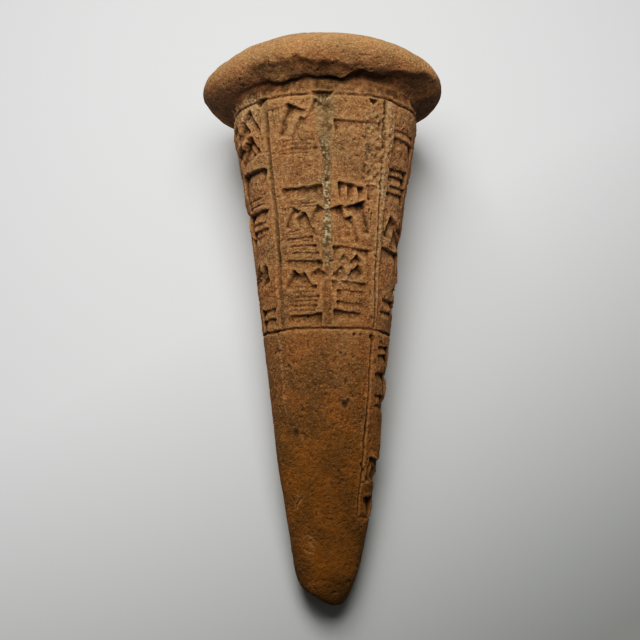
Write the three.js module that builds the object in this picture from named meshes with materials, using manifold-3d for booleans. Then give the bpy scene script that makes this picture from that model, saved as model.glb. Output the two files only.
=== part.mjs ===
// A foundation cone: one lump of fired clay, lying on its side.
// The head is a thick disc like a mushroom cap, with its rim folded over the neck. The shaft
// tapers from the neck to a blunt tip. It is ruled into strips by lines that run along it,
// and each strip holds rows of shallow wedge strokes.
// Millimetres, +Z up. The head is towards +Y and the tip towards -Y.
import * as THREE from 'three';
import { mergeVertices } from 'three/addons/utils/BufferGeometryUtils.js';
import Module from 'manifold-3d';

const wasm = await Module();
wasm.setup();

// Driving sizes. The axis dips by the lean from the head to the tip, so that the cone rests
// on its rim and near its tip, and a thin slice is off at both places, so that it can't roll.
const LEAN_DEG = 10.85;
const FLAT_DEPTH = 0.35;

// The ruled lines and the rings that close the strips are grooves.
const LINE_WIDTH = 1.1;
const LINE_DEPTH = 0.55;
const RING_WIDTH = 1.0;
const RING_DEPTH = 0.6;

// The strokes: width and depth at the head of one of size 1, depth at its tail, the most
// that one section of it may span, and how far it may be out of its place.
const STROKE_WIDTH = 1.5;
const STROKE_DEPTH = 0.8;
const STROKE_GROWTH = 0.15;
const TAIL_DEPTH = 0.1;
const STROKE_SECTION = 6.5;
const STROKE_UNEVEN = 0.12;
const CUTTER_LIFT = 0.5;

// Where the rows start along the axis, the bare margin beside a line, and the wedge that
// each line starts from at the top ring.
const STRIP_MARGIN = 1.1;
const UPPER_START = 9.0;
const LOWER_START = 58.6;
const LINE_START = { turn: 6, drop: 0.4, size: 1.1 };

// The head is a little off the axis and leans back, and where its lip runs into the neck
// the crease is filled.
const HEAD_OFFSET_X = -0.5;
const HEAD_TILT_BACK = 0.77;
const CREASE_FILL_OUT = 0.5;

// The profile, as distance along the axis from the widest part of the rim, and radius. A
// place on the surface is (t, turn): t runs along the profile, one unit from each point to
// the next, and turn is the angle round the axis, 0 at the top and 90 at +X.
const PROFILE = [
  [-8.0, 0], [-7.65, 7], [-6.85, 13], [-5.75, 18.8], [-4.3, 23.2], [-2.1, 25.9],
  [0.3, 26.8], [2.4, 26.0], [3.8, 24.4], [4.6, 22.5], [4.1, 20.9], [5.4, 20.7],
  [7.4, 20.8], [13.5, 20.2], [20, 18.9], [28, 17.5], [36, 16.4], [46, 15.1],
  [56.8, 14.0], [66, 12.95], [76, 11.8], [86, 10.55], [96.5, 8.85], [104, 7.6],
  [109, 6.65], [112.6, 5.1], [114.9, 3.2], [116.2, 0],
];
const T_RIM = 6;
const T_CREASE = 10;
const T_NECK = 11;
const T_TOP_RING = 12;
const T_MID_RING = 18;
const T_END_LINE = 22;

// The ruled lines that part the strips: their angles at the top ring and at the middle ring.
const LINES = [
  [-79, -81], [-38.5, -41.5], [0, 1], [38.5, 45], [80, 86],
  [121, 127], [160, 163], [199, 200], [239, 238],
];
const FULL_TURN = 360;
const FIRST_LOWER_LINE = 3;
const LOWER_STRIPS = 5;

// The rows of strokes in a strip, from the head down: a kind of group and its length.
const UPPER_ROWS = [
  [['slants', 5], ['slants', 5], ['gap', 2], ['beam', 2], ['gap', 4], ['hatch', 3],
    ['beam', 2], ['bars', 5], ['gap', 5], ['dots', 4], ['gap', 5], ['bars', 4]],
  [['slants', 7], ['hatch', 4], ['gap', 6], ['beam', 2], ['hatch', 3], ['slants', 4],
    ['hatch', 7], ['beam', 2], ['slants', 3], ['hatch', 6], ['beam', 2]],
  [['gap', 3], ['beam', 2], ['gap', 12], ['posts', 4], ['slants', 8], ['gap', 1],
    ['beam', 2], ['dots', 5], ['beam', 2], ['bars', 6]],
  [['gap', 3], ['bars', 4], ['gap', 4], ['bars', 7], ['gap', 5], ['slants', 6],
    ['beam', 2], ['gap', 9], ['bars', 4]],
];
const LOWER_ROWS = [
  ['bars', 4], ['gap', 2], ['beam', 2], ['gap', 3], ['bars', 4], ['gap', 10],
  ['slants', 5], ['gap', 3], ['beam', 2],
];

// The chip that took off the tip: which way its flat faces, and how far from the middle of
// the rim it lies that way.
const TIP_CHIP = { along: 0.86, side: -0.5, up: -0.1, reach: 98.0, block: 30 };
const GROUND = { wide: 400, thick: 40 };

// Small helpers.
const rad = (degrees) => degrees * Math.PI / 180;
const clamp01 = (x) => Math.min(Math.max(x, 0), 1);
const ease = (x) => clamp01(x) ** 2 * (3 - 2 * clamp01(x));
const bump = (x, middle, width) => Math.exp(-(((x - middle) / width) ** 2));
const wrap = (degrees) => ((degrees + 180) % FULL_TURN + FULL_TURN) % FULL_TURN - 180;

// A repeatable number between -1 and 1 for each whole number: the hand's unevenness.
function unevenness(n) {
  const x = Math.sin(n * 12.9898) * 43758.5453;
  return (x - Math.floor(x)) * 2 - 1;
}

const profileCurve = new THREE.SplineCurve(PROFILE.map(([s, r]) => new THREE.Vector2(s, r)));
// The profile's distance along the axis and its radius at t.
const profileAt = (t) => profileCurve.getPoint(t / (PROFILE.length - 1));
const radiusAt = (t) => profileAt(t).y;

const lean = rad(LEAN_DEG);
const ALONG = new THREE.Vector3(0, -Math.cos(lean), -Math.sin(lean));
const UP = new THREE.Vector3(0, -Math.sin(lean), Math.cos(lean));
const SIDE = new THREE.Vector3(1, 0, 0);

// The rim isn't a true circle: it is pressed in at two places beside the top.
function rimLump(turn) {
  const a = wrap(turn);
  return 0.6 - 2.1 * bump(a, -50, 28) - 0.8 * bump(a, 52, 22) + 0.5 * bump(a, -115, 25);
}

// The clay lip hangs lower over the neck in some places than in others.
function lipSag(turn) {
  const a = wrap(turn);
  return 0.9 * bump(a, -24, 10) + 0.6 * bump(a, 9, 9) - 0.4 * bump(a, 26, 8)
    + 0.25 * Math.sin(rad(3 * a + 40));
}

// Beside the top and round the back the lip runs into the neck in a hollow curve: the
// crease under it is filled by this share.
function creaseFill(turn) {
  return 1 - bump(wrap(turn), -12, 42);
}

// A point of the surface, raised by lift: the profile turned round the axis, with the head
// a little off centre and tilted back, and with its lumps.
function surface(t, turn, lift = 0) {
  const p = profileAt(t);
  const head = 1 - ease((t - T_CREASE) / (T_TOP_RING - T_CREASE));
  const rim = bump(t, T_RIM, 2.6);
  const lip = bump(t, T_CREASE - 1, 1.1);
  const a = rad(turn);
  const fill = bump(t, T_CREASE, 0.7) * creaseFill(turn);
  const s = p.x + lip * lipSag(turn) + fill - head * HEAD_TILT_BACK * Math.cos(a);
  const r = p.y + rim * rimLump(turn) * clamp01(p.y / 8) + fill * CREASE_FILL_OUT + lift;
  return new THREE.Vector3()
    .addScaledVector(ALONG, s)
    .addScaledVector(SIDE, r * Math.sin(a) + head * HEAD_OFFSET_X)
    .addScaledVector(UP, r * Math.cos(a));
}

// Where a distance s along the shaft lies on the profile, found by halving.
function tAt(s) {
  let low = T_NECK;
  let high = PROFILE.length - 1;
  for (let i = 0; i < 30; i += 1) {
    const middle = (low + high) / 2;
    if (profileAt(middle).x < s) low = middle;
    else high = middle;
  }
  return low;
}

// The angle of a ruled line at t: it drifts between the two rings and then runs straight.
function lineTurn(k, t) {
  const row = Math.floor(k / LINES.length);
  const [top, middle] = LINES[k - row * LINES.length];
  const down = clamp01((t - T_TOP_RING) / (T_MID_RING - T_TOP_RING));
  return top + (middle - top) * down + FULL_TURN * row;
}

// True where line k is ruled at t: every line between the rings, and below the middle ring
// only those at the right and round the back.
function isRuled(k, t) {
  const lower = k >= FIRST_LOWER_LINE && k <= FIRST_LOWER_LINE + LOWER_STRIPS;
  return t > T_TOP_RING && (t <= T_MID_RING || (lower && t < T_END_LINE));
}

// The three rows of a ring groove: its upper edge, its bottom and its lower edge.
function ringRows(t) {
  const { x: s } = profileAt(t);
  return [tAt(s - RING_WIDTH / 2), t, tAt(s + RING_WIDTH / 2)];
}

// The body is a net of rows (t) and columns (turn). Three columns follow each ruled line,
// so that it is a groove, and three rows follow each ring.
const ROWS_T = [
  1, 2, 3, 4, 4.8, 5.5, 6.1, 6.8, 7.5, 8.3, 9, T_CREASE, T_NECK,
  ...ringRows(T_TOP_RING), 13, 14.2, 15.4, 16.7,
  ...ringRows(T_MID_RING), 19, 20, 21,
  ...ringRows(T_END_LINE), 23, 24, 24.8, 25.5, 26.2,
];
const SHARES = [0, 'edge', 1 / 3, 2 / 3, 'far edge'];
const LEAST_RADIUS = 4;

// The angle of a column at t: the columns of a strip stay between its two lines.
function columnTurn(column, t) {
  const k = Math.floor(column / SHARES.length);
  const share = SHARES[column % SHARES.length];
  const here = lineTurn(k, t);
  const next = lineTurn(k + 1, t);
  const edge = LINE_WIDTH / 2 / rad(Math.max(radiusAt(t), LEAST_RADIUS));
  if (share === 'edge') return here + edge;
  if (share === 'far edge') return next - edge;
  return here + (next - here) * share;
}

// How far a point of the net lies in a groove.
function grooveDepth(column, t) {
  const k = Math.floor(column / SHARES.length) % LINES.length;
  const isRing = t === T_TOP_RING || t === T_MID_RING;
  const lower = k >= FIRST_LOWER_LINE && k < FIRST_LOWER_LINE + LOWER_STRIPS;
  if (isRing || (t === T_END_LINE && lower)) return RING_DEPTH;
  return column % SHARES.length === 0 && isRuled(k, t) ? LINE_DEPTH : 0;
}

function bodyNet() {
  const columns = LINES.length * SHARES.length;
  const points = [surface(0, 0)];
  for (const t of ROWS_T) {
    for (let c = 0; c < columns; c += 1) {
      points.push(surface(t, columnTurn(c, t), -grooveDepth(c, t)));
    }
  }
  points.push(surface(PROFILE.length - 1, 0));
  const last = points.length - 1;
  const at = (row, c) => 1 + row * columns + (c % columns);
  const faces = [];
  for (let c = 0; c < columns; c += 1) {
    faces.push(0, at(0, c), at(0, c + 1));
    for (let row = 0; row < ROWS_T.length - 1; row += 1) {
      faces.push(at(row, c), at(row + 1, c), at(row + 1, c + 1));
      faces.push(at(row, c), at(row + 1, c + 1), at(row, c + 1));
    }
    faces.push(last, at(ROWS_T.length - 1, c + 1), at(ROWS_T.length - 1, c));
  }
  return netGeometry(points, faces);
}

// A closed mesh of points and faces.
function netGeometry(points, faces) {
  const geometry = new THREE.BufferGeometry();
  const flat = points.flatMap((p) => [p.x, p.y, p.z]);
  geometry.setAttribute('position', new THREE.Float32BufferAttribute(flat, 3));
  geometry.setIndex(faces);
  return geometry;
}

// The closed mesh as a solid that can be cut.
function toSolid(geometry) {
  const bare = geometry.clone();
  bare.deleteAttribute('normal');
  bare.deleteAttribute('uv');
  const merged = mergeVertices(bare, 1e-5);
  return new wasm.Manifold(new wasm.Mesh({
    numProp: 3,
    vertProperties: new Float32Array(merged.attributes.position.array),
    triVerts: new Uint32Array(merged.index.array),
  }));
}

// A stroke is a wedge pressed into the clay: wide and deep at its head, fading to its tail.
// Its cutter is a run of three-cornered sections that follow the surface from head to tail,
// each with two corners above the clay and one below it.
function strokeCutter([turn0, s0], [turn1, s1], size) {
  const radius = radiusAt(tAt((s0 + s1) / 2));
  const across = rad(turn1 - turn0) * radius;
  const length = Math.hypot(across, s1 - s0);
  const sideTurn = -(s1 - s0) / length / rad(radius);
  const sideS = across / length;
  const steps = Math.max(1, Math.round(Math.abs(across) / STROKE_SECTION));
  const points = [];
  for (let i = 0; i <= steps; i += 1) {
    const f = i / steps;
    const depth = size * STROKE_DEPTH * (1 - f) + TAIL_DEPTH;
    const half = (size * STROKE_WIDTH / 2) * (1 - f) + TAIL_DEPTH;
    const reach = half * (depth + CUTTER_LIFT) / depth;
    const turn = turn0 + (turn1 - turn0) * f;
    const s = s0 + (s1 - s0) * f;
    const heel = i === 0 ? half / length : 0;
    points.push(surface(tAt(s + sideS * reach), turn + sideTurn * reach, CUTTER_LIFT));
    points.push(surface(tAt(s - sideS * reach), turn - sideTurn * reach, CUTTER_LIFT));
    points.push(surface(tAt(s + (s1 - s0) * heel), turn + (turn1 - turn0) * heel, -depth));
  }
  const faces = [0, 1, 2];
  for (let i = 0; i < steps; i += 1) {
    for (let corner = 0; corner < 3; corner += 1) {
      const a = 3 * i + corner;
      const b = 3 * i + ((corner + 1) % 3);
      faces.push(a, a + 3, b, b, a + 3, b + 3);
    }
  }
  const end = 3 * steps;
  faces.push(end, end + 2, end + 1);
  return netGeometry(points, faces);
}

// The strokes of one group, in its own frame: u from -1 to 1 across the strip and v from 0
// to 1 along it, each as [u, v of the head, u, v of the tail, size].
const GROUPS = {
  gap: () => [],
  beam: () => [[-0.95, 0.5, 0.95, 0.45, 1.0]],
  bars: (length) => repeat(Math.round(length / 1.8), (f) => [-0.8, f, 0.75, f + 0.03, 0.85]),
  hatch: (length) => repeat(Math.round(length / 1.9), (f) => [-0.7, f, 0.7, f, 0.55]),
  posts: () => repeat(4, (f) => [1.7 * f - 0.85, 0.12, 1.7 * f - 0.85, 0.92, 0.8]),
  slants: () => repeat(3, (f) => [1.5 * f - 0.95, 0.05, 1.5 * f - 0.45, 0.95, 0.95]),
  dots: () => repeat(4, (f, i) => {
    const u = (i % 2) * 0.8 - 0.6;
    const v = i < 2 ? 0.1 : 0.55;
    return [u, v, u + 0.4, v + 0.3, 0.9];
  }),
};

function repeat(count, make) {
  return Array.from({ length: count }, (_, i) => make((i + 0.5) / count, i));
}

// All strokes of a strip: its groups follow each other from sStart towards the tip. Every
// other strip is mirrored, and every stroke is a little out of its place.
function stripStrokes(k, rows, sStart) {
  const cutters = [];
  const mirror = k % 2 === 0 ? 1 : -1;
  let s = sStart;
  rows.forEach(([kind, length], row) => {
    const t = tAt(s + length / 2);
    const left = lineTurn(k, t);
    const right = lineTurn(k + 1, t);
    const margin = STRIP_MARGIN / rad(radiusAt(t));
    const half = (right - left) / 2 - margin;
    GROUPS[kind](length).forEach(([u0, v0, u1, v1, size], i) => {
      const seed = 97 * k + 13 * row + 3 * i;
      const shift = STROKE_UNEVEN * unevenness(seed);
      const drop = STROKE_UNEVEN * unevenness(seed + 1);
      const place = (u, v) => [
        (left + right) / 2 + mirror * (u + shift) * half,
        s + v * length + drop,
      ];
      const grown = size * (1 + STROKE_GROWTH * unevenness(seed + 2));
      cutters.push(strokeCutter(place(u0, v0), place(u1, v1), grown));
    });
    s += length;
  });
  return cutters;
}

// The wedge that a ruled line starts from, just below the top ring.
function lineStart(k) {
  const turn = lineTurn(k, T_TOP_RING);
  const s = profileAt(T_TOP_RING).x + LINE_START.drop;
  const head = [turn - LINE_START.turn, s];
  const tail = [turn + LINE_START.turn, s + LINE_START.drop];
  return strokeCutter(head, tail, LINE_START.size);
}

// Every stroke: the strips between the rings, whose rows come again in the other order
// round the back, the starts of the lines, and the strips below the middle ring.
function allStrokes() {
  const cutters = [];
  for (let k = 0; k < LINES.length; k += 1) {
    const rows = [...UPPER_ROWS[k % UPPER_ROWS.length]];
    if (k >= UPPER_ROWS.length) rows.reverse();
    cutters.push(...stripStrokes(k, rows, UPPER_START), lineStart(k));
  }
  for (let i = 0; i < LOWER_STRIPS; i += 1) {
    cutters.push(...stripStrokes(FIRST_LOWER_LINE + i, LOWER_ROWS, LOWER_START));
  }
  return cutters;
}

// The tip is chipped off on a slant: a block whose near face is the flat that is left.
function tipBlock({ along, side, up, reach, block }) {
  const normal = new THREE.Vector3()
    .addScaledVector(ALONG, along)
    .addScaledVector(SIDE, side)
    .addScaledVector(UP, up)
    .normalize();
  const tip = surface(PROFILE.length - 1, 0);
  const middle = tip.addScaledVector(normal, reach + block / 2 - tip.dot(normal));
  const turned = new THREE.Quaternion().setFromUnitVectors(new THREE.Vector3(0, 0, 1), normal);
  const unit = new THREE.Vector3(1, 1, 1);
  const box = new THREE.BoxGeometry(block, block, block);
  return box.applyMatrix4(new THREE.Matrix4().compose(middle, turned, unit));
}

// What lies under the two flat spots, as a slab whose top is flat.
function groundBlock(top) {
  const { wide, thick } = GROUND;
  return new THREE.BoxGeometry(wide, wide, thick).translate(0, 0, top - thick / 2);
}

// The clay with every stroke pressed in, its tip chipped and its two flat spots.
function clayGeometry() {
  const strokes = allStrokes().map(toSolid).reduce((all, next) => all.add(next));
  const carved = toSolid(bodyNet()).subtract(strokes).subtract(toSolid(tipBlock(TIP_CHIP)));
  const lowest = carved.boundingBox().min[2];
  const clay = carved.subtract(toSolid(groundBlock(lowest + FLAT_DEPTH)));
  const { vertProperties, triVerts } = clay.getMesh();
  const geometry = new THREE.BufferGeometry();
  geometry.setAttribute('position', new THREE.BufferAttribute(vertProperties, 3));
  geometry.setIndex(new THREE.BufferAttribute(triVerts, 1));
  return geometry;
}

const firedClay = new THREE.MeshStandardMaterial({
  color: 0x9a6440,
  roughness: 0.92,
  metalness: 0,
});

// The cone stands on z = 0, with the middle of its outline over the origin.
const clayCone = new THREE.Mesh(clayGeometry(), firedClay);
clayCone.name = 'clay_cone';
clayCone.geometry.computeBoundingBox();
const { min, max } = clayCone.geometry.boundingBox;
clayCone.position.set(-(min.x + max.x) / 2, -(min.y + max.y) / 2, -min.z);

const cone = new THREE.Group();
cone.add(clayCone);
export default cone;
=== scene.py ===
# %% [markdown]
# # A foundation cone of fired clay
#
# The real object is one lump of clay, rolled by hand into a cone with a mushroom head. Lines
# were ruled along its shaft and rows of wedge strokes pressed between them, and then it was
# fired, buried and weathered. This lesson builds it as one surface: a profile is turned round
# an axis, and then ruled, pressed, folded and worn, all as numpy arrays over one net of rows
# and columns. The clay's colour and grain come last, as a material made of nodes.

# %% Load the frame
import math

import bpy
import numpy as np
from mathutils import Matrix, Vector


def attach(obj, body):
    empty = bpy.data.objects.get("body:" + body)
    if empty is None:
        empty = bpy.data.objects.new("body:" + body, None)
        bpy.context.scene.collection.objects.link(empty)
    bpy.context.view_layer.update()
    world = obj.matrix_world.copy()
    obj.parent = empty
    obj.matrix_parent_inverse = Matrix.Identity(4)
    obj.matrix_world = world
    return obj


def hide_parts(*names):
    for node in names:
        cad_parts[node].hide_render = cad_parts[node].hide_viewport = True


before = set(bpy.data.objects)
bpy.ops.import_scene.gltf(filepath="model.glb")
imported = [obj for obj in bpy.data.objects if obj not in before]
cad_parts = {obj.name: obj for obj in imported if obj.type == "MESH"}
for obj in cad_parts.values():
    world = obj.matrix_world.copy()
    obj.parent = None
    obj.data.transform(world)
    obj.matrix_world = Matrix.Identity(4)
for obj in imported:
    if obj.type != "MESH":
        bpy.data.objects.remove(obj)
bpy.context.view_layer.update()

# %% [markdown]
# ## The camera
#
# The photograph looks down on the cone from behind its tip. Blender's camera looks along its
# own -Z, so three directions at right angles are enough to place it: backwards is away from
# what it looks at, and right and up lie in the picture, turned from level by a small roll.

# %% The camera
MM = 0.001
RIM_CENTRE = np.array([0.536, 52.450, 26.677])  # the middle of the rim, in millimetres
VIEW_DOWN_DEG = 70.5
VIEW_ROLL = 0.00632
CAMERA_FROM_RIM = np.array([-1.408, -141.53, 242.835])
LENS_MM = 67.5
NEAREST = 0.01


def put_in_scene(name, data):
    """A new object, linked into the scene."""
    thing = bpy.data.objects.new(name, data)
    bpy.context.collection.objects.link(thing)
    return thing


down_angle = math.radians(VIEW_DOWN_DEG)
back = Vector((0, -math.cos(down_angle), math.sin(down_angle)))
level_up = Vector((0, math.sin(down_angle), math.cos(down_angle)))
level_right = Vector((1, 0, 0))
right = (level_right - VIEW_ROLL * level_up).normalized()
up = (level_up + VIEW_ROLL * level_right).normalized()
place = Vector((RIM_CENTRE + CAMERA_FROM_RIM) * MM)
camera = put_in_scene("camera", bpy.data.cameras.new("camera"))
camera.data.lens = LENS_MM
camera.data.clip_start = NEAREST
camera.matrix_world = Matrix.Translation(place) @ Matrix((right, up, back)).transposed().to_4x4()
bpy.context.scene.camera = camera
print("camera at", [round(v, 4) for v in camera.matrix_world.translation])

# %% [markdown]
# ## The profile
#
# The cone is nearly a body of revolution. Its profile is a short list of points, distance
# along the axis and radius, with a smooth curve through them. The same points shape the
# solid, so the carved surface can't drift away from it. Lengths are in millimetres until the
# mesh is made, because strokes are easiest to think of in millimetres.

# %% The profile of the cone
LEAN_DEG = 10.85
PROFILE = np.array([
    [-8.0, 0], [-7.65, 7], [-6.85, 13], [-5.75, 18.8], [-4.3, 23.2], [-2.1, 25.9],
    [0.3, 26.8], [2.4, 26.0], [3.8, 24.4], [4.6, 22.5], [4.1, 20.9], [5.4, 20.7],
    [7.4, 20.8], [13.5, 20.2], [20, 18.9], [28, 17.5], [36, 16.4], [46, 15.1],
    [56.8, 14.0], [66, 12.95], [76, 11.8], [86, 10.55], [96.5, 8.85], [104, 7.6],
    [109, 6.65], [112.6, 5.1], [114.9, 3.2], [116.2, 0],
])
T_END = len(PROFILE) - 1
T_RIM, T_LIP, T_CREASE, T_NECK = 6, 9, 10, 11
T_TOP_RING, T_MID_RING, T_END_LINE = 12, 18, 22
HALF_TURN, FULL_TURN = 180.0, 360.0


def profile_at(t):
    """Distance along the axis and radius at t, which counts the points of the profile.

    Between two points it is the Catmull-Rom cubic: it leaves each of them with half the step
    between that point's two neighbours."""
    t = np.asarray(t, float)
    i = np.clip(np.floor(t).astype(int), 0, T_END - 1)
    w = (t - i)[..., None]
    p0, p1, p2, p3 = (PROFILE[np.clip(i + k, 0, T_END)] for k in (-1, 0, 1, 2))
    v0, v1 = (p2 - p0) / 2, (p3 - p1) / 2
    cubic = (2 * p1 - 2 * p2 + v0 + v1) * w**3 + (3 * p2 - 3 * p1 - 2 * v0 - v1) * w**2
    p = cubic + v0 * w + p1
    return p[..., 0], p[..., 1]


def clamp01(x):
    """x, held between 0 and 1."""
    return np.clip(x, 0.0, 1.0)


def ease(x):
    """A smooth step from 0 at x = 0 to 1 at x = 1."""
    return clamp01(x) ** 2 * (3 - 2 * clamp01(x))


def bump(x, middle, width):
    """A bell curve: 1 at the middle, and about a third at width from it."""
    return np.exp(-(((x - middle) / width) ** 2))


def bumps(x, table):
    """Several bell curves added up, each a middle, a width and a height."""
    return sum(height * bump(x, middle, width) for middle, width, height in table)


def within(x, start, end, soft_start, soft_end):
    """1 inside a stretch of x, eased in from its start and out towards its end."""
    return ease((x - start) / soft_start) * ease((end - x) / soft_end)


def wrap(degrees):
    """The same angle between -180 and 180."""
    return (np.asarray(degrees) + HALF_TURN) % FULL_TURN - HALF_TURN


FINE_PLACES = 8001

fine_t = np.linspace(0, T_END, FINE_PLACES)
fine_s, fine_r = profile_at(fine_t)
shaft = fine_t >= T_NECK


def shaft_at(s):
    """t and the radius at a distance s along the shaft."""
    return [float(np.interp(s, fine_s[shaft], fine[shaft])) for fine in (fine_t, fine_r)]


print("from the dome to the tip:", round(fine_s.max() - fine_s.min(), 1), "mm")

# %% [markdown]
# ## The net
#
# Every point of the surface has a row and a column. Rows run along the profile, from the
# dome over the rim and down the shaft, and columns run round the axis. Strokes need a close
# net and the dome doesn't, so the step between rows and between columns changes from place to
# place: we add up how many steps fit so far, and read off where each whole number falls.

# %% Rows and columns
ROW_STEPS = [  # t and the step there, in millimetres
    [0, 0.6], [3.5, 0.5], [4.8, 0.24], [T_NECK, 0.2], [T_TOP_RING, 0.17], [T_MID_RING, 0.17],
    [20, 0.2], [T_END_LINE, 0.22], [24, 0.26], [T_END, 0.3],
]
COLUMN_STEPS = [  # turn and the step there, in degrees
    [-180, 1.0], [-115, 0.9], [-95, 0.45], [95, 0.45], [115, 0.9], [180, 1.0],
]


def paced(places, lengths, steps):
    """Places whose spacing follows the wanted steps.

    The number of steps up to a place is the sum of length over step; the places are where
    that sum is a whole number."""
    steps = np.array(steps)
    wanted = np.interp(places, steps[:, 0], steps[:, 1])
    count = np.concatenate([[0], np.cumsum(np.diff(lengths) / ((wanted[1:] + wanted[:-1]) / 2))])
    whole = int(round(count[-1]))
    return np.interp(np.arange(whole + 1) * count[-1] / whole, count, places)


FINE_TURNS = 3601

run = np.concatenate([[0], np.cumsum(np.hypot(np.diff(fine_s), np.diff(fine_r)))])
row_t = paced(fine_t, run, ROW_STEPS)[1:-1]
fine_turn = np.linspace(-HALF_TURN, HALF_TURN, FINE_TURNS)
column_turn = paced(fine_turn, fine_turn, COLUMN_STEPS)[:-1]
row_s = profile_at(row_t)[0]
TURN, T = np.meshgrid(column_turn, row_t)
S, R = profile_at(T)
rows, columns = T.shape
print("the net has", rows, "rows and", columns, "columns")

# %% [markdown]
# ## The form of the lump
#
# A hand-made thing is never a true body of revolution. The head sits a little off the axis
# and leans back, its rim is pressed in at two places, and its lip hangs lower over the neck
# in some places than in others. These are the broad forms, and the solid has them too.

# %% The surface
HEAD_OFFSET_X, HEAD_TILT_BACK = -0.5, 0.77
CREASE_FILL_OUT = 0.5
RIM_SWELL = 0.6
RIM_LUMPS = [[-50, 28, -2.1], [52, 22, -0.8], [-115, 25, 0.5]]  # turn, width and height
LIP_SAGS = [[-24, 10, 0.9], [9, 9, 0.6], [26, 8, -0.4]]
LIP_WAVE, LIP_WAVES, WAVE_START = 0.25, 3, math.radians(40)
RIM_REACH, CREASE_REACH, LIP_REACH = 2.6, 0.7, 1.1  # how far each reaches, in units of t
OPEN_TURN, OPEN_WIDTH = -12, 42  # the front, where the crease isn't filled
MIDDLE_OF_DOME = 8.0
NEAR_T = 1e-3

lean = math.radians(LEAN_DEG)
ALONG = np.array([0, -math.cos(lean), -math.sin(lean)])
UP = np.array([0, -math.sin(lean), math.cos(lean)])
SIDE = np.array([1.0, 0, 0])


def surface(t, turn, raised):
    """Points of the surface, raised along its outward normal.

    The profile is turned round the axis by the angle turn. The head is moved sideways and
    leans back, its rim has lumps, and its lip sags in waves over the neck, where the crease
    is filled away from the front."""
    s, r = profile_at(t)
    s1, r1 = profile_at(np.minimum(t + NEAR_T, T_END))
    s0, r0 = profile_at(np.maximum(t - NEAR_T, 0))
    slope_s, slope_r = s1 - s0, r1 - r0
    slope = np.hypot(slope_s, slope_r)
    a = np.radians(turn)
    head = 1 - ease((t - T_CREASE) / (T_TOP_RING - T_CREASE))
    fill = bump(t, T_CREASE, CREASE_REACH) * (1 - bump(wrap(turn), OPEN_TURN, OPEN_WIDTH))
    wave = LIP_WAVE * np.sin(LIP_WAVES * a + WAVE_START)
    lip = bump(t, T_LIP, LIP_REACH) * (bumps(wrap(turn), LIP_SAGS) + wave)
    rim = bump(t, T_RIM, RIM_REACH) * (RIM_SWELL + bumps(wrap(turn), RIM_LUMPS))
    s = s + lip + fill - head * HEAD_TILT_BACK * np.cos(a) - slope_r / slope * raised
    r = r + rim * clamp01(r / MIDDLE_OF_DOME)
    r = np.maximum(r + fill * CREASE_FILL_OUT + slope_s / slope * raised, 0)
    x = r * np.sin(a) + head * HEAD_OFFSET_X
    return s[..., None] * ALONG + x[..., None] * SIDE + (r * np.cos(a))[..., None] * UP


smooth_points = surface(T, TURN, 0.0)
print("the smooth lump is", round(float(np.ptp(smooth_points[..., 0])), 1), "mm wide")

# %% [markdown]
# ## Noise and smoothing
#
# Clay is uneven at every size. Value noise gives that: random numbers sit on a lattice in
# space and are blended smoothly between its points, so the noise has no seam round the cone.
# Smoothing a field over the net is two matrix products, one for the rows and one for the
# columns, with bell-shaped weights in millimetres.

# %% Noise and smoothing
LATTICE = 64


def clay_noise(size, seed, stretch=1.0):
    """Smooth noise between -1 and 1, with lumps of the given size in millimetres.

    It blends the eight lattice values round each point; stretch makes the lumps longer
    along the axis."""
    lattice = np.random.default_rng(seed).uniform(-1, 1, (LATTICE, LATTICE, LATTICE))
    scale = np.array([1.0, 1.0 / stretch, 1.0])
    p = smooth_points * scale / size + LATTICE
    i = np.floor(p).astype(int)
    f = p - i
    f = f * f * (3 - 2 * f)
    total = np.zeros((rows, columns))
    for dx in (0, 1):
        for dy in (0, 1):
            for dz in (0, 1):
                corner = (i + (dx, dy, dz)) % LATTICE
                share = np.where((dx, dy, dz), f, 1 - f).prod(axis=-1)
                total += share * lattice[corner[..., 0], corner[..., 1], corner[..., 2]]
    return total


def layered(layers):
    """Noises added up: each layer is a height, a size and a seed, and may have a stretch."""
    return sum(height * clay_noise(*layer) for height, *layer in layers)


def varied(level, change, *layer):
    """A level that changes from place to place with noise of a size and a seed."""
    return level + change * clay_noise(*layer)


row_run = np.interp(row_t, fine_t, run)
SHAFT_RADIUS = 17.0


def bell_weights(places, reach, around=None):
    """A matrix that averages over places within a bell curve of the given reach."""
    gap = places[:, None] - places[None, :]
    if around:
        gap = (gap + around / 2) % around - around / 2
    weights = np.exp(-((gap / reach) ** 2))
    share = np.abs(np.gradient(places))
    weights = weights * share[None, :]
    return weights / weights.sum(axis=1, keepdims=True)


def smoothed(field, reach):
    """The field averaged over a round patch of the given reach in millimetres."""
    turn_reach = math.degrees(reach / SHAFT_RADIUS)
    down = bell_weights(row_run, reach)
    round_axis = bell_weights(column_turn, turn_reach, around=FULL_TURN)
    return down @ field @ round_axis.T


print("noise on", rows * columns, "points")

# %% [markdown]
# ## Ruled lines and rings
#
# The scribe first ruled the shaft into strips with a string or an edge, and closed the strips
# with rings. A ruled line is a groove: its depth falls off with the distance from the line.
# Noise in three sizes moves every place on the net before the distance is taken, so that no
# line is ruler straight, and each line is pressed harder in some places than in others.

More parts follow.
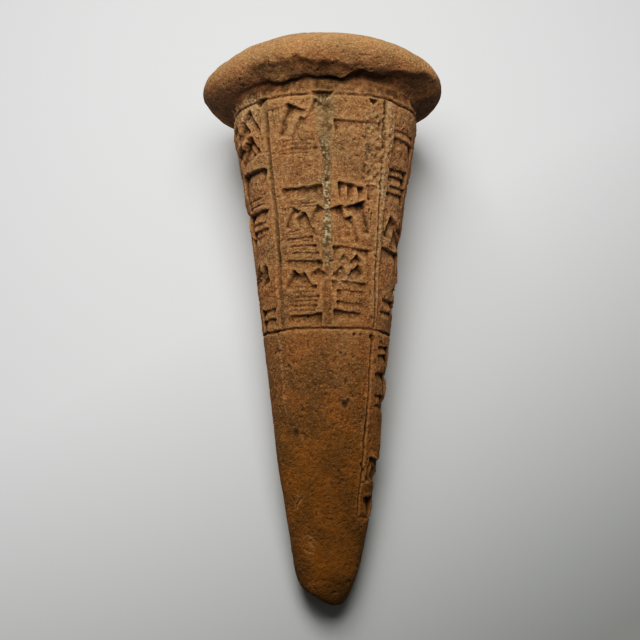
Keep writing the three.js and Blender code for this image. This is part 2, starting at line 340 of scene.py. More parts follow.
# %% Ruled lines and rings
LINES = [  # the angle of each ruled line at the top ring and at the middle ring
    [-79, -81], [-38.5, -41.5], [0, 1], [38.5, 45], [80, 86],
    [121, 127], [160, 163], [199, 200], [239, 238],
]
LINE_WIDTHS = [1.2, 1.5, 3.0, 0.8, 1.2, 1.1, 1.2, 1.1, 1.2]
LINE_DEPTHS = [0.6, 0.42, 0.5, 0.6, 0.6, 0.5, 0.6, 0.5, 0.6]
FIRST_LOWER_LINE, LOWER_STRIPS, LOWER_SHARE = 3, 5, 0.95
LINE_FADE = 0.1
RING_WIDTH, RING_DEPTH, END_DEPTH = 0.8, 0.5, 0.22
WALL_STEEPNESS = 1.4
PRESSURE_CHANGE = 0.4
HAND_WOBBLE = 0.25  # how far the hand strays; each row below is a height, size and seed
WOBBLE_ALONG = [[HAND_WOBBLE, 3.5, 11], [0.3, 14.0, 14], [0.12, 1.0, 16]]
WOBBLE_ROUND = [[HAND_WOBBLE, 3.5, 12], [0.12, 1.0, 17]]
LEAST_RADIUS = 4.0

S_HAND = S + layered(WOBBLE_ALONG)
TURN_HAND = TURN + np.degrees(layered(WOBBLE_ROUND) / np.maximum(R, LEAST_RADIUS))


def line_turn(k, t):
    """The angle of ruled line k at t: it drifts between the rings and then runs straight."""
    lap, k = divmod(k, len(LINES))
    top, middle = LINES[k]
    down = clamp01((t - T_TOP_RING) / (T_MID_RING - T_TOP_RING))
    return top + (middle - top) * down + FULL_TURN * lap


def groove(distance, width, depth):
    """A trough with steep sides and a round bottom: nothing past half the width."""
    return depth * ease((1 - np.abs(distance) / (width / 2)) * WALL_STEEPNESS)


pressed = np.zeros((rows, columns))
pressure = varied(1.0, PRESSURE_CHANGE, 5.0, 13)
for k, (width, depth) in enumerate(zip(LINE_WIDTHS, LINE_DEPTHS)):
    away = np.radians(wrap(TURN_HAND - line_turn(k, T))) * R
    ruled = within(T, T_TOP_RING, T_MID_RING, LINE_FADE, LINE_FADE)
    pressed = np.maximum(pressed, ruled * groove(away, width, depth * pressure))
    if FIRST_LOWER_LINE <= k <= FIRST_LOWER_LINE + LOWER_STRIPS:
        below = within(T, T_MID_RING, T_END_LINE, LINE_FADE, LINE_FADE)
        lower_depth = LOWER_SHARE * depth * pressure
        pressed = np.maximum(pressed, below * groove(away, RING_WIDTH, lower_depth))
for t_ring in (T_TOP_RING, T_MID_RING):
    s_ring = float(profile_at(t_ring)[0])
    pressed = np.maximum(pressed, groove(S_HAND - s_ring, RING_WIDTH, RING_DEPTH * pressure))
s_end = float(profile_at(T_END_LINE)[0])
start, stop = LINES[FIRST_LOWER_LINE][1], LINES[FIRST_LOWER_LINE + LOWER_STRIPS][1]
in_lower = np.mod(TURN - start, FULL_TURN) < stop - start
pressed = np.maximum(pressed, in_lower * groove(S_HAND - s_end, RING_WIDTH, END_DEPTH * pressure))
print("deepest ruled groove", round(float(pressed.max()), 2), "mm")

# %% [markdown]
# ## Wedge strokes
#
# A stroke is the mark of the edge of a cut reed. The reed is held aslant, so one wall of the
# mark is steep and the other is a gentle slope, and its corner goes in deepest, which makes
# the wedge's head. Depth along the stroke is a curve from head to tail, and across it the
# two walls take depth away at their two slopes. The strokes stand in rows, and a few rules
# place them in groups: bars, slanting wedges, posts, hatches, dots and fine combs.

# %% One stroke
HEAD_DEPTH, BODY_DEPTH = 1.15, 0.62
HEAD_LENGTH, HEEL_LENGTH, TAIL_RISE = 2.0, 0.35, 0.9
STEEP_SLOPE = 2.6


def wedge(along, across, length, size, slope):
    """How deep a stroke is at a place along it from its head, and across it.

    The floor of the mark drops over the heel, rises from the head's depth to the body's, and
    runs out at the tail. The gentle wall, with the slope given, is on the positive side."""
    head = 1 - ease(along / (HEAD_LENGTH * size))
    floor = size * (BODY_DEPTH + (HEAD_DEPTH - BODY_DEPTH) * head)
    floor = floor * clamp01(1 + along / HEEL_LENGTH) * clamp01((length - along) / TAIL_RISE)
    walls = np.where(across > 0, across * slope, -across * STEEP_SLOPE)
    return np.maximum(floor - walls, 0)


def near(turn0, s0, turn1, s1, reach):
    """The net within reach of the box between two places on the shaft, how far round and
    along the shaft each point lies from the first place, and the shaft's radius."""
    radius = shaft_at((s0 + s1) / 2)[1]
    half_turn = abs(turn1 - turn0) / 2 + math.degrees(reach / radius)
    in_s = (row_s > min(s0, s1) - reach) & (row_s < max(s0, s1) + reach) & (row_t > T_NECK)
    in_turn = np.abs(wrap(column_turn - (turn0 + turn1) / 2)) < half_turn
    block = np.ix_(np.flatnonzero(in_s), np.flatnonzero(in_turn))
    x = np.radians(wrap(TURN_HAND[block] - turn0)) * radius
    return block, x, S_HAND[block] - s0, radius


def near_line(turn0, s0, turn1, s1, reach):
    """The net near a line on the shaft, how far each point lies along it and across it,
    positive towards the tip, and the line's length."""
    block, x, y, radius = near(turn0, s0, turn1, s1, reach)
    run_x, run_y = math.radians(turn1 - turn0) * radius, s1 - s0
    length = math.hypot(run_x, run_y)
    towards_tip = 1 if run_x > 0 else -1
    across = towards_tip * (y * run_x - x * run_y) / length
    return block, (x * run_x + y * run_y) / length, across, length


def keep_most(field, block, values):
    """Put the values into a part of the field wherever they are larger."""
    field[block] = np.maximum(field[block], values)


def press_stroke(head, tail, size, slope):
    """Press one stroke from its head to its tail, each a turn and a distance s."""
    reach = HEAD_DEPTH * size / slope + 2 * HAND_WOBBLE
    block, along, across, length = near_line(*head, *tail, reach)
    keep_most(pressed, block, wedge(along, across, length, size, slope))


print("a stroke is", HEAD_DEPTH, "mm deep at its head and", BODY_DEPTH, "mm along its body")

# %% [markdown]
# A group of strokes is described in its own frame: u runs from -1 to 1 across the strip, and
# v from 0 to 1 along it. The rows of a strip are a list of groups with their lengths, the same
# as in the solid, so that each stroke of the solid has its finer twin here. The twins stray a
# little, each by its own repeatable number, because a hand never sets two strokes alike.
# Between them come marks that only this surface has: fine combs of short, close ticks, as a
# reed's edge leaves, and the second, finer bars of a hatch.

# %% Groups of strokes
STRIP_MARGIN, STROKE_SHIFT, STROKE_GROWTH = 1.1, 0.14, 0.3
HANDS = {  # the slope of the gentle wall, and how far places and tails stray in millimetres
    "beam": (0.34, 0.2, 0.4), "bars": (0.45, 0.2, 0.4), "hatch": (0.75, 0.1, 0.2),
    "posts": (0.42, 0.5, 0.6), "slants": (0.32, 0.7, 1.0), "dots": (0.40, 0.5, 0.6),
}
STRIP_SIZES = [1.25, 1.0, 1.0, 1.2]  # how large the strokes are, strip by strip
BAR_STEP, HATCH_STEP, HATCH_TWIN = 1.8, 1.9, 0.9
UPPER_START, LOWER_START = 9.0, 58.6
UPPER_ROWS = [
    [["slants", 5], ["slants", 5], ["gap", 2], ["beam", 2], ["gap", 4], ["hatch", 3],
     ["beam", 2], ["bars", 5], ["gap", 5], ["dots", 4], ["gap", 5], ["bars", 4]],
    [["slants", 7], ["hatch", 4], ["gap", 6], ["beam", 2], ["hatch", 3], ["slants", 4],
     ["hatch", 7], ["beam", 2], ["slants", 3], ["hatch", 6], ["beam", 2]],
    [["gap", 3], ["beam", 2], ["gap", 12], ["posts", 4], ["slants", 8], ["gap", 1],
     ["beam", 2], ["dots", 5], ["beam", 2], ["bars", 6]],
    [["gap", 3], ["bars", 4], ["gap", 4], ["bars", 7], ["gap", 5], ["slants", 6],
     ["beam", 2], ["gap", 9], ["bars", 4]],
]
LOWER_ROWS = [
    ["bars", 4], ["gap", 2], ["beam", 2], ["gap", 3], ["bars", 4], ["gap", 10],
    ["slants", 5], ["gap", 3], ["beam", 2],
]


def repeat(count, make):
    """What make gives for count even shares between 0 and 1."""
    return [make((i + 0.5) / count, i) for i in range(count)]


def hatch(length):
    """Close bars across the strip, and then a finer one just below each of them."""
    count, below = round(length / HATCH_STEP), HATCH_TWIN / length
    return repeat(count, lambda f, i: [-0.7, f, 0.7, f, 0.55]) + repeat(
        count, lambda f, i: [-0.6, f + below, 0.7, f + below, 0.36])


GROUPS = {  # each stroke is the u and v of its head, those of its tail, and its size
    "gap": lambda length: [],
    "beam": lambda length: [[-0.95, 0.5, 0.95, 0.45, 1.2]],
    "bars": lambda length: repeat(
        round(length / BAR_STEP), lambda f, i: [-0.8, f, 0.75, f + 0.03, 0.85]),
    "hatch": hatch,
    "posts": lambda length: repeat(
        4, lambda f, i: [1.7 * f - 0.85, 0.12, 1.7 * f - 0.85, 0.92, 1.1]),
    "slants": lambda length: repeat(
        3, lambda f, i: [1.5 * f - 0.95, 0.05 + 0.3 * (i % 2), 1.5 * f - 0.45, 0.95, 1.35]),
    "dots": lambda length: [
        [u, v, u + 0.4, v + 0.3, 1.2] for v in (0.1, 0.55) for u in (-0.6, 0.2)],
}


def unevenness(n):
    """A repeatable number between -1 and 1 for each whole number: the hand's unevenness."""
    x = math.sin(n * 12.9898) * 43758.5453
    return (x - math.floor(x)) * 2 - 1


TICK_STEP, TICK_SIZE, TICK_SLOPE, TICK_LEAN = 0.75, 0.44, 0.9, 0.2
TICK_START, TICK_END, TICK_UNEVEN = 0.15, 0.85, 0.1  # shares of the comb's length
COMBED = {"bars": (-0.5, 0.6), "slants": (-0.1, 0.9)}  # the share of u that a comb fills


def press_comb(middle, half, s, length, low, high, radius):
    """Close ticks along the strip, side by side from a low to a high u."""
    width = (high - low) * math.radians(half) * radius
    count = max(2, round(width / TICK_STEP))
    for i in range(count):
        turn = middle + (low + (high - low) * (i + 0.5) / count) * half
        start = TICK_START + TICK_UNEVEN * unevenness(i + 7 * count)
        end = TICK_END + TICK_UNEVEN * unevenness(i + 5 * count)
        head, tail = (turn, s + start * length), (turn + TICK_LEAN, s + end * length)
        press_stroke(head, tail, TICK_SIZE, TICK_SLOPE)
    return count


def press_strip(k, rows_of_groups, s_start):
    """Press the groups of one strip one after another towards the tip; count the strokes."""
    mirror = 1 if k % 2 == 0 else -1
    s, count = s_start, 0
    for row, (kind, length) in enumerate(rows_of_groups):
        t, radius = shaft_at(s + length / 2)
        left, right = line_turn(k, t), line_turn(k + 1, t)
        middle = (left + right) / 2
        half = (right - left) / 2 - math.degrees(STRIP_MARGIN / radius)
        for i, (u0, v0, u1, v1, size) in enumerate(GROUPS[kind](length)):
            seed = 97 * k + 13 * row + 3 * i
            slope, stray, tilt = HANDS[kind]
            shift = STROKE_SHIFT * unevenness(seed)
            moved = s + stray * unevenness(seed + 1)
            s0, s1 = moved + v0 * length, moved + v1 * length + tilt * unevenness(seed + 5)
            growth = 1 + STROKE_GROWTH * unevenness(seed + 2)
            grown = size * STRIP_SIZES[k % len(STRIP_SIZES)] * growth
            head = (middle + mirror * (u0 + shift) * half, s0)
            tail = (middle + mirror * (u1 + shift) * half, s1)
            press_stroke(head, tail, grown, slope)
            count += 1
        if kind in COMBED:
            low, high = sorted(mirror * u for u in COMBED[kind])
            count += press_comb(middle, half, s, length, low, high, radius)
        s += length
    return count


strokes = 0
for k in range(len(LINES)):
    order = 1 if k < len(UPPER_ROWS) else -1  # the back repeats the front the other way round
    strokes += press_strip(k, UPPER_ROWS[k % len(UPPER_ROWS)][::order], UPPER_START)
for k in range(FIRST_LOWER_LINE, FIRST_LOWER_LINE + LOWER_STRIPS):
    strokes += press_strip(k, LOWER_ROWS, LOWER_START)
print(strokes, "strokes pressed")

# %% [markdown]
# Each ruled line starts from a deep notch under the top ring, where the ruler's end was pushed
# in. Grit that fell out left pits, and later knocks left scratches. Notches and pits keep a
# stain and scratches are scuffed pale, so two more fields note where they are.

# %% Notches, pits and scratches
NOTCHES = [  # turn, s of the flat edge, width, height, depth
    [-43.0, 7.2, 4.2, 1.9, 1.5], [-1.5, 6.9, 5.0, 2.2, 1.6], [30.0, 8.2, 2.6, 1.3, 1.1],
    [80.0, 7.5, 3.0, 1.6, 1.2], [121.0, 7.5, 3.0, 1.6, 1.2], [160.0, 7.5, 3.0, 1.6, 1.2],
    [199.0, 7.5, 3.0, 1.6, 1.2], [239.0, 7.5, 3.0, 1.6, 1.2], [281.0, 7.5, 3.0, 1.6, 1.2],
]
PITS = [  # turn, s, radius, depth
    [18, 73, 0.95, 0.5], [21, 72.2, 0.5, 0.35], [-37, 78.5, 1.0, 0.35], [-38, 64.5, 0.5, 0.35],
    [25, 58.2, 0.5, 0.5], [45, 58.4, 0.9, 0.6], [43, 85.2, 0.5, 0.4], [47, 86.4, 0.45, 0.4],
    [68, 85, 0.9, 0.6], [63, 93, 0.8, 0.6], [4, 66, 0.3, 0.25], [-12, 69, 0.35, 0.2],
    [8, 69.5, 0.45, 0.25], [-2, 71, 0.3, 0.2], [12, 62, 0.4, 0.2], [-26, 74, 0.3, 0.2],
]
SCRATCHES = [  # turn and s of both ends, width, depth
    [-50, 94.8, -33, 91.6, 0.7, 0.3], [-45, 100.4, -30, 99.8, 0.5, 0.2],
    [-30, 99.8, -14, 101.6, 0.5, 0.18], [-44, 103.0, -22, 103.8, 0.5, 0.16],
    [-47, 75, -47, 58, 0.4, 0.1], [-36, 101.2, -20, 102.4, 0.5, 0.12],
]
NOTCH_EDGE = 0.3
PIT_RAGGED, PIT_WALL = 0.25, 0.7
STAIN_REACH, STAIN_FADE = 1.25, 1.5
SCRATCH_RAGGED, SCUFF_WIDTH = 0.3, 2


def press_notch(turn, s, width, height, depth):
    """A triangle, flat edge towards the head, with steep walls all round."""
    block, x, y, _ = near(turn, s, turn, s + height, width)
    side = (width / 2) * (1 - y / height) - np.abs(x)
    inside = np.minimum(np.minimum(side, y + NOTCH_EDGE), height)
    keep_most(pressed, block, depth * ease(inside / (2 * NOTCH_EDGE)))
    keep_most(stained, block, ease(inside / NOTCH_EDGE))


def press_pit(turn, s, radius, depth):
    """A round hollow with a ragged edge, and a stain that reaches a little past it."""
    block, x, y, _ = near(turn, s, turn, s, 2 * radius)
    away = np.hypot(x, y) + PIT_RAGGED * ragged[block]
    keep_most(pressed, block, depth * ease((radius - away) / (PIT_WALL * radius)))
    keep_most(stained, block, ease(STAIN_FADE * (STAIN_REACH * radius - away) / radius))


def press_scratch(turn0, s0, turn1, s1, width, depth):
    """A shallow groove from one place to another, scuffed to both sides."""
    block, along, across, length = near_line(turn0, s0, turn1, s1, width)
    across = across + SCRATCH_RAGGED * ragged[block]
    ends = within(along, 0, length, width, width)
    keep_most(pressed, block, ends * groove(across, width, depth))
    keep_most(scuffed, block, ends * groove(across, SCUFF_WIDTH * width, 1.0))


ragged = clay_noise(1.1, 15)
scuffed = np.zeros((rows, columns))
stained = np.zeros((rows, columns))
for notch in NOTCHES:
    press_notch(*notch)
for pit in PITS:
    press_pit(*pit)
for scratch in SCRATCHES:
    press_scratch(*scratch)
print(len(NOTCHES), "notches,", len(PITS), "pits and", len(SCRATCHES), "scratches")

# %% [markdown]
# ## The folded lip
#
# The head's clay was folded down over the neck. From the front there is a smooth roll on top,
# a fold where it turns under, and a bulging lip whose edge ends in a crack over the neck.
# To the right the lip thins out and the underside turns into a hollow. Each of these follows
# a curve over the head, given by a few places, and lowers the clay on one side of it.

# %% The lip
FOLD = [  # turn and t along the fold under the roll
    [-40, 6.5], [-33, 6.45], [-25, 6.35], [-15, 6.4], [-10, 6.6], [-1, 6.95], [10, 7.3],
    [16, 7.2], [22, 7.0], [28, 7.5], [37, 7.3], [45, 6.8], [55, 6.0], [90, 5.6],
]
LIP_EDGE = [[-36, 9.9], [8, 9.9], [11, 8.9], [14.5, 8.3], [19.5, 7.9], [23, 7.8], [26, 8.0]]
LEDGE = [[18, 8.1], [22.5, 8.15], [29, 8.3], [35, 8.35], [48, 8.3], [60, 8.1]]
NEAR_TURNS = (-5.0, -2.5, 0.0, 2.5, 5.0)
# The turns of each part and how softly it ends there, its depth in millimetres, and in units
# of t how soon it sinks past its curve, where it ends, and how softly.
FRONT = {"span": (-34, 14, 9), "depth": 0.55, "end": 1.3, "fade": 1.7}
RIGHT_SIDE = {"span": (42, 64, 14), "depth": 1.3, "rise": 1.3, "end": 9.2, "fade": 1.0}
EDGE_PART = {"span": (12, 20, 4), "depth": 1.5, "rise": 0.3, "end": 9.6, "fade": 1.3}
LEDGE_PART = {"span": (24, 42, 7), "depth": 1.2, "rise": 0.35, "end": 9.4, "fade": 1.2}
FRONT_RISE, LEFT_RISE = 1.1, 0.4  # the fold is softer towards the left
LEFT_TURN, LEFT_FADE = -18, 14
CRACK_SPAN, CRACK_T, CRACK_HALF, CRACK_LEAST = (-38, 9, 5), 10.15, 0.36, 0.05
CRACK_OPENINGS = [[8, 6, 1.3], [-20, 5, 0.45]]  # turn, half width and depth
HOLE_TURN, HOLE_T, HOLE_DEPTH = (-12.5, 1.6), (6.8, 0.25), 0.5
UNDER_RIGHT, UNDER_RISE, UNDER_END, UNDER_FADE = (12, 125, 8), 0.5, 9.9, 0.4
TURN_STRAY = 3.0  # in degrees; each row below is a height, size and seed of noise
T_STRAY = [[0.16, 2.2, 32], [0.05, 0.9, 33]]
LIP_LUMPS = [[0.32, 1.9, 34], [0.16, 0.8, 35]]


def on_curve(curve, turn):
    """t on a curve over the head at each turn, its corners softened over a few degrees."""
    turns, heights = np.array(curve).T
    return sum(np.interp(turn + d, turns, heights) for d in NEAR_TURNS) / len(NEAR_TURNS)


def between(turn, low, high, soft):
    """1 between two angles, fading to 0 over soft degrees outside them."""
    return within(turn, low - soft, high + soft, soft, soft)


def sunk(past, at, span, depth, rise, end, fade):
    """How far one part of the lip sinks past its curve, until it fades away at its end."""
    return depth * between(turn_soft, *span) * ease(past / rise) * (1 - ease((at - end) / fade))


turn_soft = TURN + TURN_STRAY * clay_noise(5.0, 31)
t_soft = T + layered(T_STRAY)
past_fold = t_soft - on_curve(FOLD, turn_soft)
past_edge = t_soft - on_curve(LIP_EDGE, turn_soft)
past_ledge = t_soft - on_curve(LEDGE, turn_soft)
front_rise = FRONT_RISE + LEFT_RISE * ease((LEFT_TURN - turn_soft) / LEFT_FADE)
folds = sunk(past_fold, past_fold, rise=front_rise, **FRONT)
folds += sunk(past_fold, t_soft, **RIGHT_SIDE)
folds += sunk(past_edge, T, **EDGE_PART)
folds += sunk(past_ledge, T, **LEDGE_PART)
crack = between(turn_soft, *CRACK_SPAN) * bump(t_soft, CRACK_T, CRACK_HALF)
folds += (CRACK_LEAST + bumps(turn_soft, CRACK_OPENINGS)) * crack
folds += HOLE_DEPTH * bump(TURN, *HOLE_TURN) * bump(T, *HOLE_T)
front = between(turn_soft, *FRONT["span"])
under_roll = np.maximum(front, between(turn_soft, *UNDER_RIGHT)) * ease(past_fold / UNDER_RISE)
under_roll *= 1 - ease((t_soft - UNDER_END) / UNDER_FADE)
folds -= under_roll * front * layered(LIP_LUMPS)
print("deepest fold", round(float(folds.max()), 2), "mm")

# %% [markdown]
# ## Worn clay
#
# Pressing a stroke pushes clay up beside it, and thousands of years in the ground rounded
# every edge. A smoothed copy of the pressed depth gives the pushed-up clay, and noise of
# several sizes gives the streaks of smoothing and small pits. The hands left larger lumps and
# dents, most of them at the shaft's two edges, and two patches in the strips have worn rough.

# %% Relief
PUSHED_UP, PUSH_REACH = 0.55, 1.6
LUMPS = [  # turn, s, half width in degrees, half height and how far it stands out
    [86, 10.0, 16, 2.0, 0.3], [-90, 12.0, 16, 2.0, 0.3], [-90, 25.5, 16, 2.6, 0.4],
    [-90, 29.8, 16, 1.0, -0.5], [86, 36.0, 14, 3.0, -0.4], [84, 65.5, 14, 1.4, -0.9],
    [84, 72.3, 14, 1.2, -0.7], [84, 81.0, 14, 4.0, 0.5], [84, 110.0, 30, 5.0, -0.5],
    [-30, 24.0, 8, 5.0, 0.25], [30, 21.0, 6, 6.0, -0.3],
]
SHAFT_FROM, SHAFT_SOFT = 10.6, 0.8  # in units of t
NECK_BAND = (10.3, 12, 0.5, 0.4)
STRIPS_END, STRIPS_SOFT = 57, 3
PATCH_TURNS, PATCH_S = (27, 39, 3), (9, 28, 2, 2)
SPOT_TURNS, SPOT_S = (4, 22, 5), (45, 3.5)
LEAST_KEPT, PATCH_WEAR = 0.7, 0.45  # shares of the pressed depth
UNEVEN = [[0.2, 7.0, 21, 1.6], [0.1, 2.4, 22, 1.5], [0.06, 0.9, 23]]
ROUGH = [[0.3, 1.5, 25, 2.2], [0.25, 0.6, 26, 1.3]]
ROUGH_SINK, PATCH_ROUGHER = 0.15, 0.4
NECK_ROUGH, STRIPS_ROUGH = 0.8, 0.3
PIT_RARITY, PIT_SOFT, PATCH_PITS, PIT_DEPTH = 0.64, 0.2, 0.12, 0.22
END_FADE, END_RELIEF = 1.5, 0.3


def spots(table):
    """Soft spots on the shaft added up, each a row of a table like the lumps."""
    return sum(value * bump(wrap(TURN - turn), 0, half_turn) * bump(S, s, half_height)
               for turn, s, half_turn, half_height, value in table)


on_shaft = ease((T - SHAFT_FROM) / SHAFT_SOFT)
neck_band = within(T, *NECK_BAND)
in_strips = on_shaft * ease((STRIPS_END - S) / STRIPS_SOFT)
worn_patch = between(turn_soft, *PATCH_TURNS) * within(S, *PATCH_S)
worn_patch = np.maximum(worn_patch, between(TURN, *SPOT_TURNS) * bump(S, *SPOT_S))
kept = LEAST_KEPT + (1 - LEAST_KEPT) * ease((clay_noise(4.0, 27) + 0.5) / 0.9)
kept *= 1 - PATCH_WEAR * worn_patch
raised = PUSHED_UP * smoothed(pressed, PUSH_REACH) - pressed * kept - folds
raised += layered(UNEVEN)
rough_parts = np.maximum(NECK_ROUGH * neck_band, STRIPS_ROUGH * in_strips)
rough_parts = np.maximum(rough_parts, worn_patch) * (1 + PATCH_ROUGHER * worn_patch)
raised += rough_parts * (layered(ROUGH) - ROUGH_SINK)
raised += spots(LUMPS)
pits = ease((clay_noise(0.8, 24) - PIT_RARITY + PATCH_PITS * worn_patch) / PIT_SOFT)
raised -= PIT_DEPTH * pits
fade = clamp01((T_END - T) / END_FADE) * clamp01(T / END_FADE)
raised *= END_RELIEF + (1 - END_RELIEF) * fade
print("relief from", round(float(raised.min()), 2), "to", round(float(raised.max()), 2), "mm")

# %% [markdown]
# ## Where soil, crust, painted shade and painted light lie
#
# What lay in the ground keeps soil in its hollows, under the roll of the head and round the
# neck, and a stain in its notches and pits, and the same field paints shade into the hollows,
# under the roll, on the head's underside and on the chipped face of the tip. A pale crust of
# lime clings in the widest groove, which is tinted olive, and more thinly on the ridge beside
# the next line and at the neck. Edges that stand proud are rubbed lighter and carry a painted
# highlight, and some broad patches are painted lighter as painted light. Each of these is a
# field over the net, from 0 to 1, that the material reads. First come the places themselves.

# %% Places that kept a deposit, and patches of painted light
CHANNEL_TURN, CHANNEL_SOFT = 0.4, 1.2  # in degrees
CHANNEL_HALF = (2.6, 0.8, 4.0, 45)  # level, change, and the size and seed of its noise
FLARE_HALF, FLARE_SHIFT = 3.6, 1.7  # the crust is wider and further left near the head
FLARE_END, FLARE_FADE = 12, 9
CHANNEL_S = (7, 52, 1, 16)
RIDGE_TURNS, RIDGE_S = (40.5, 47, 1.2), (7.5, 57, 1, 6)
LEFT_NECK_TURNS, LEFT_NECK_S = (-80, -50, 10), (4, 13, 2, 4)
LEFT_UNDER_TURNS, LEFT_UNDER_T = (-90, -45, 10), (7, 10.7, 0.6, 0.5)
LEFT_LINE_TURNS = (-41.0, -38.2, 0.8)
PAINTED_LIGHT_PATCHES = [  # turn, s, half width in degrees, half height and the share of painted light
    [18, 62, 14, 7, 0.5], [64, 30, 17, 32, 0.75], [15, 16, 11, 9, 0.4], [80, 70, 14, 20, 0.4],
]
LEAST_PAINTED_LIGHT = 0.8

patchy = clay_noise(3.0, 41)
gritty = clay_noise(0.7, 42)
flare = 1 - ease((S - FLARE_END) / FLARE_FADE)
channel_half = varied(*CHANNEL_HALF) + FLARE_HALF * flare
off_middle = np.abs(TURN_HAND - CHANNEL_TURN + FLARE_SHIFT * flare)
channel = ease((channel_half - off_middle) / CHANNEL_SOFT + 0.5)
channel *= on_shaft * within(S, *CHANNEL_S)
ridge = between(TURN_HAND, *RIDGE_TURNS) * within(S, *RIDGE_S)
left_neck = between(TURN, *LEFT_NECK_TURNS) * within(S, *LEFT_NECK_S)
left_under = between(TURN, *LEFT_UNDER_TURNS) * within(T, *LEFT_UNDER_T)
left_line = between(TURN_HAND, *LEFT_LINE_TURNS) * in_strips
# Painted light: a few broad patches of the clay are made lighter.
painted_light_patches = spots(PAINTED_LIGHT_PATCHES) * (LEAST_PAINTED_LIGHT + patchy)
print("the widest groove's crust lies on", round(100 * float(channel.mean()), 1), "% of the net")

# %% Soil and painted shade, crust, and rubbed edges with painted highlights
HOLLOW_REACH, CRISP_REACH = 1.5, 0.6
SOIL_AND_SHADE_FROM, SOIL_AND_SHADE_GAIN, SOIL_AND_SHADE_CHANGE = 0.06, 2.6, 0.5
# The lip's darkening is soil and painted shade under the head.
LIP_SHADE_AND_SOIL = (0.4, 0.3, 2.5, 44)  # level, change, and the size and seed of its noise
NECK_SOIL = (0.4, 0.6, 1.4, 46)
CRUMBLED = (0.6, 0.6, 2.0, 47, 3.0)
LEFT_SHADE_AND_SOIL, ROLL_CLEAN = 0.2, 0.5
STAIN, SCUFF_CLEAN, CHANNEL_SOIL = 0.95, 0.7, 0.75
CRUST_LEVEL, CRUST_CHANGE = 0.9, 0.5
UPPER_CRUST, MORE_CRUST, MORE_FROM, MORE_OVER = 0.55, 0.5, 20, 8
RIDGE_CRUST, NECK_CRUST, PATCH_CRUST, LIME_SPECKS = 0.4, 0.45, 0.25, 0.4
LINE_OLIVE, OLIVE_LEVEL, OLIVE_CHANGE = 0.7, 0.85, 0.4
# Wear and painted highlights: broad swells and proud edges are lightened, partly real rubbing and
# partly painted highlight.
HIGHLIGHT_BROAD_GAIN, HIGHLIGHT_CRISP_GAIN = 2.0, 6.0
SCUFF_LEVEL, SCUFF_CHANGE = 0.9, 0.6
CRUST_GRIT, CRUST_LUMPS, RIDGE_RISE, FLARE_SINK = 0.16, 0.2, 0.3, 0.3
GRIT_LEVEL, GRIT_CHANGE, GRIT_IN_STRIPS, GRIT_BELOW = 0.2, 0.3, 0.55, 0.5
BELOW_S = (68, 10)

hollow = smoothed(raised, HOLLOW_REACH) - raised
proud = raised - smoothed(raised, CRISP_REACH)
# Soil and painted shade: the hollows of the relief are darkened.
soil_and_painted_shade = clamp01((hollow - SOIL_AND_SHADE_FROM) * SOIL_AND_SHADE_GAIN * (1 + SOIL_AND_SHADE_CHANGE * patchy))
soil_and_painted_shade *= 1 - ROLL_CLEAN * under_roll
# Soil and painted shade under the roll of the head and on its right underside, and more faintly on
# its left underside.
lip_shade_and_soil = varied(*LIP_SHADE_AND_SOIL) * np.maximum(under_roll, LEFT_SHADE_AND_SOIL * left_under)
neck_soil = varied(*NECK_SOIL) * neck_band
soil_and_painted_shade = np.maximum(soil_and_painted_shade, clamp01(np.maximum(lip_shade_and_soil, neck_soil)))
soil_and_painted_shade = np.maximum(soil_and_painted_shade * (1 - SCUFF_CLEAN * scuffed), STAIN * stained)
soil_and_painted_shade = np.maximum(soil_and_painted_shade, channel * ease((clay_noise(1.4, 48) - 0.05) / 0.4) * CHANNEL_SOIL)

crust = channel * (UPPER_CRUST + MORE_CRUST * ease((S - MORE_FROM) / MORE_OVER))
crust *= varied(*CRUMBLED)
for share, where in ((RIDGE_CRUST, ridge), (NECK_CRUST, left_neck), (PATCH_CRUST, worn_patch)):
    crust = np.maximum(crust, share * where)
specks = LIME_SPECKS * ease((gritty - 0.55) / 0.3) * in_strips
crust = clamp01(crust * (CRUST_LEVEL + CRUST_CHANGE * patchy) + specks)
olive = np.maximum(channel, LINE_OLIVE * left_line)
olive = clamp01(olive * (OLIVE_LEVEL + OLIVE_CHANGE * patchy))

scuffs = scuffed * (SCUFF_LEVEL + SCUFF_CHANGE * gritty)
# Rubbed edges and scuffs, with painted highlights on proud edges and swells and painted light on
# some patches.
worn_and_painted_light = clamp01(-hollow * HIGHLIGHT_BROAD_GAIN + proud * HIGHLIGHT_CRISP_GAIN + scuffs + painted_light_patches)
raised += channel * (CRUST_GRIT * gritty + CRUST_LUMPS * clay_noise(1.3, 43))
raised += RIDGE_RISE * ridge
raised -= FLARE_SINK * channel * flare * (1 - clamp01(pressed))
grit = GRIT_LEVEL + GRIT_CHANGE * patchy + GRIT_IN_STRIPS * in_strips
grit = clamp01(grit + GRIT_BELOW * bump(S, *BELOW_S) * on_shaft)
print("soil on", round(100 * float((soil_and_painted_shade > 0.3).mean())), "% of the net")

# %% [markdown]
# ## The chipped tip and the flat spots
#
# The tip has lost a chip, which left a slanting flat. Every point past the plane of the chip
# slides back along the axis until it lies on it, and a rounded edge leads over to the flat.
# The cone also rests on two small flat spots, one at the rim and one near the tip, so that it
# can't roll: there the points are lifted onto the ground plane.

# %% Chip and flats
TIP_CHIP = {"along": 0.86, "side": -0.5, "up": -0.1, "reach": 98.45}
CHIP_EDGE = 1.4
# Painted shade on the chip's face, laid into the soil field.
CHIP_PAINTED_SHADE, CHIP_SHADE_FADE = 0.5, 0.6

